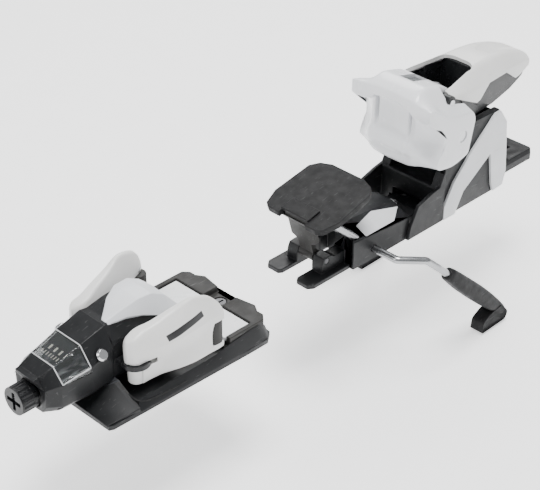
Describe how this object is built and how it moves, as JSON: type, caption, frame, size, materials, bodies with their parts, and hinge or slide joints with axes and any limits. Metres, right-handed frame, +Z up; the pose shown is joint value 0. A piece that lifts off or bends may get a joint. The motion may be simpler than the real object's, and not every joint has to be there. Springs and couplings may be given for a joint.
{
  "type": "ski binding",
  "caption": "Alpine ski binding: toe unit with side wings and slide plate, hinged heel cup with lever, and a ski brake with wire arms.",
  "frame": {"origin": "centre of the four toe screw holes, on the plane of the ski's top surface", "axes": "+X along the ski from the toe unit towards the tail, +Y towards the skier's right, +Z up off the ski"},
  "size_m": [0.488, 0.1348, 0.2001],
  "materials": {
    "white_plastic": "gloss",
    "grey_white_plastic": "satin",
    "black_plastic": "satin",
    "grey_black_plastic": "matte",
    "white_slide": "smooth",
    "steel": "bright",
    "chrome": "polished",
    "spring_steel": "oiled",
    "rubber": "matte",
    "clear": "clear",
    "pale_mark": "smooth"
  },
  "bodies": {
    "ski_mounted": {"toe_base": "black_plastic", "toe_carrier": "black_plastic", "toe_housing": "black_plastic", "toe_window": "clear", "toe_rivets": "chrome", "toe_top_cap": "grey_white_plastic", "toe_spring": "spring_steel", "toe_piston": "steel", "wing_pins": "steel", "afd_frame": "grey_black_plastic", "heel_track": "black_plastic", "brake_base": "black_plastic", "brake_base_insets": "white_plastic", "base_screws": "chrome", "link_pin": "steel"},
    "wing_left_body": {"wing_left": "white_plastic", "roller_pin_left": "steel"},
    "wing_right_body": {"wing_right": "white_plastic", "roller_pin_right": "steel"},
    "roller_left_body": {"roller_left": "grey_black_plastic"},
    "roller_right_body": {"roller_right": "grey_black_plastic"},
    "toe_screw_body": {"toe_adjust_screw": "black_plastic"},
    "toe_indicator_body": {"toe_indicator": "pale_mark"},
    "afd_plate_body": {"afd_plate": "white_slide"},
    "afd_screw_body": {"afd_screw": "steel"},
    "carriage": {"heel_carriage": "black_plastic", "side_trim_left": "white_plastic", "side_trim_right": "white_plastic", "heel_pivot_pin": "chrome"},
    "length_screw_body": {"length_screw": "steel"},
    "heel_cup": {"heel_housing": "white_plastic", "heel_scale_window": "clear", "heel_spring": "spring_steel", "heel_piston": "steel", "lever_pin": "steel"},
    "heel_lever": {"lever_body": "black_plastic", "lever_cover": "white_plastic"},
    "heel_screw_body": {"heel_adjust_screw": "steel"},
    "heel_indicator_body": {"heel_indicator": "pale_mark"},
    "brake_arms": {"brake_arm_left": "chrome", "brake_arm_right": "chrome", "brake_grip_left": "rubber", "brake_grip_right": "rubber"},
    "brake_link_body": {"brake_link": "grey_black_plastic", "pad_pin": "steel"},
    "brake_pad_body": {"brake_pad": "rubber"}
  },
  "joints": [
    {"name": "wing_left_swing", "type": "hinge", "parent": "ski_mounted", "child": "wing_left_body", "pos_m": [-0.031, -0.026, 0], "axis": [0, 0, -1], "range_deg": [0, 30], "stiffness_Nm_per_rad": 20},
    {"name": "wing_right_swing", "type": "hinge", "parent": "ski_mounted", "child": "wing_right_body", "pos_m": [-0.031, 0.026, 0], "axis": [0, 0, 1], "range_deg": [0, 30], "stiffness_Nm_per_rad": 20},
    {"name": "roller_left_spin", "type": "hinge", "parent": "wing_left_body", "child": "roller_left_body", "pos_m": [0.0251, -0.036, 0], "axis": [0, 0, 1], "continuous": true},
    {"name": "roller_right_spin", "type": "hinge", "parent": "wing_right_body", "child": "roller_right_body", "pos_m": [0.0251, 0.036, 0], "axis": [0, 0, 1], "continuous": true},
    {"name": "toe_screw_turn", "type": "hinge", "parent": "ski_mounted", "child": "toe_screw_body", "pos_m": [-0.099, 0, 0.0234], "axis": [1, 0, 0], "range_deg": [-720, 720]},
    {"name": "toe_indicator_slide", "type": "slide", "parent": "ski_mounted", "child": "toe_indicator_body", "axis": [1, 0, 0], "range_m": [-0.005, 0.005]},
    {"name": "afd_screw_turn", "type": "hinge", "parent": "ski_mounted", "child": "afd_screw_body", "pos_m": [0.0645, 0, 0], "axis": [0, 0, 1], "range_deg": [0, 1440]},
    {"name": "afd_height", "type": "slide", "parent": "ski_mounted", "child": "afd_plate_body", "axis": [0, 0, 1], "range_m": [0, 0.004]},
    {"name": "carriage_slide", "type": "slide", "parent": "ski_mounted", "child": "carriage", "axis": [1, 0, 0], "range_m": [-0.01, 0.01]},
    {"name": "length_screw_turn", "type": "hinge", "parent": "carriage", "child": "length_screw_body", "pos_m": [0.333, 0, 0.0176], "axis": [1, 0, 0], "range_deg": [-1800, 1800]},
    {"name": "heel_cup_tilt", "type": "hinge", "parent": "carriage", "child": "heel_cup", "pos_m": [0.267, 0, 0.072], "axis": [0, 1, 0], "range_deg": [-48, 0]},
    {"name": "heel_lever_tilt", "type": "hinge", "parent": "heel_cup", "child": "heel_lever", "pos_m": [0.261, 0, 0.098], "axis": [0, 1, 0], "range_deg": [-12, 0]},
    {"name": "heel_screw_turn", "type": "hinge", "parent": "heel_cup", "child": "heel_screw_body", "pos_m": [0.28, 0, 0.0876], "axis": [1, 0, 0], "range_deg": [-720, 720]},
    {"name": "heel_indicator_slide", "type": "slide", "parent": "heel_cup", "child": "heel_indicator_body", "axis": [1, 0, 0], "range_m": [-0.003, 0.003]},
    {"name": "brake_swing", "type": "hinge", "parent": "ski_mounted", "child": "brake_arms", "pos_m": [0.19, 0, 0.008], "axis": [0, -1, 0], "range_deg": [0, 43], "stiffness_Nm_per_rad": 0.9, "springref_deg": -51.57},
    {"name": "brake_link_fold", "type": "hinge", "parent": "ski_mounted", "child": "brake_link_body", "pos_m": [0.15, 0, 0.012], "axis": [0, -1, 0], "range_deg": [0, 64.5]},
    {"name": "pad_tilt", "type": "hinge", "parent": "brake_link_body", "child": "brake_pad_body", "pos_m": [0.141, 0, 0.044], "axis": [0, 1, 0], "range_deg": [0, 77.3]}
  ],
  "couplings": [
    {"joint": "toe_indicator_slide", "follows": "toe_screw_turn", "m_per_rad": 0.00019099},
    {"joint": "afd_screw_turn", "follows": "afd_height", "rad_per_m": 6276.9},
    {"joint": "length_screw_turn", "follows": "carriage_slide", "rad_per_m": 3138.5},
    {"joint": "heel_indicator_slide", "follows": "heel_screw_turn", "m_per_rad": 0.00019099},
    {"joint": "brake_link_fold", "follows": "brake_swing", "ratio": 1.4953},
    {"joint": "pad_tilt", "follows": "brake_swing", "ratio": 1.793}
  ]
}
